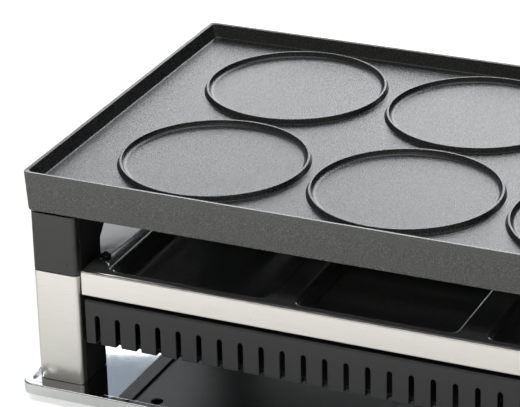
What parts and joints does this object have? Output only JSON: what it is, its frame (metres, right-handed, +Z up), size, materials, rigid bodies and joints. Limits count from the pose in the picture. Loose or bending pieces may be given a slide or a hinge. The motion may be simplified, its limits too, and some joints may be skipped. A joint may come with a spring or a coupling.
{
  "type": "raclette grill",
  "caption": "Long tabletop raclette grill: a cast plate with round wells on corner posts, a pan deck under the heater, a slotted housing and a bright base tray.",
  "frame": {"origin": "centre of the footprint, on the table", "axes": "+X along the length towards the controls, +Y to the back, +Z up"},
  "size_m": [0.473, 0.236, 0.1253],
  "materials": {
    "cast_coating": "grey non-stick coating, finely grained",
    "satin_black": "satin",
    "gloss_black": "gloss",
    "matte_black": "matte",
    "black_moulding": "matte",
    "black_enamel": "gloss enamel",
    "dark_sheet": "semi-matte paint",
    "brushed_steel": "fine satin",
    "bright_steel": "polished",
    "plated_steel": "zinc plated",
    "heater_metal": "heat-tinted sheath",
    "ceramic": "unglazed",
    "rubber": "matte",
    "amber_lens": "clear tinted"
  },
  "bodies": {
    "base": {"post_front_left": "black_moulding", "cap_front_left": "satin_black", "cover_front_left": "brushed_steel", "post_front_right": "black_moulding", "cap_front_right": "satin_black", "cover_front_right": "brushed_steel", "post_rear_left": "black_moulding", "cap_rear_left": "satin_black", "cover_rear_left": "brushed_steel", "post_rear_right": "black_moulding", "cap_rear_right": "satin_black", "cover_rear_right": "brushed_steel", "heating_element": "heater_metal", "heater_end_front": "heater_metal", "heater_end_rear": "heater_metal", "side_rail_left": "plated_steel", "side_rail_right": "plated_steel", "heater_rail_front": "plated_steel", "heater_rail_rear": "plated_steel", "heater_strip_1": "plated_steel", "heater_strip_2": "plated_steel", "heater_strip_3": "plated_steel", "pan_deck": "black_enamel", "deck_screw_front_left": "satin_black", "deck_screw_front_right": "satin_black", "deck_screw_rear_left": "satin_black", "deck_screw_rear_right": "satin_black", "trim_front": "brushed_steel", "trim_rear": "brushed_steel", "frame_bar_front": "dark_sheet", "frame_bar_rear": "dark_sheet", "vent_panel_front": "dark_sheet", "vent_panel_rear": "dark_sheet", "housing_end_left": "dark_sheet", "housing_end_right": "dark_sheet", "heat_shield": "dark_sheet", "base_tray": "bright_steel", "foot_front_left": "rubber", "foot_front_right": "rubber", "foot_rear_left": "rubber", "foot_rear_right": "rubber", "control_housing": "matte_black", "terminal_cover": "matte_black", "thermostat_body": "ceramic", "switch_frame": "satin_black", "indicator_lens": "amber_lens", "power_inlet": "matte_black", "inlet_blade_left": "plated_steel", "inlet_blade_right": "plated_steel", "inlet_blade_earth": "plated_steel", "terminal_block": "ceramic"},
    "plate": {"grill_plate": "cast_coating"},
    "knob": {"thermostat_knob": "satin_black", "thermostat_shaft": "plated_steel"},
    "rocker": {"switch_rocker": "gloss_black"}
  },
  "joints": [
    {"name": "plate_lift", "type": "slide", "parent": "base", "child": "plate", "axis": [0, 0, 1], "range_m": [0, 0.06]},
    {"name": "thermostat_turn", "type": "hinge", "parent": "base", "child": "knob", "pos_m": [0.2246, -0.04501, 0.05185], "axis": [1, 0, 0], "range_deg": [0, 270]},
    {"name": "rocker_tilt", "type": "hinge", "parent": "base", "child": "rocker", "pos_m": [0.2233, 0.00997, 0.05185], "axis": [0, 1, 0], "range_deg": [0, 16]}
  ]
}
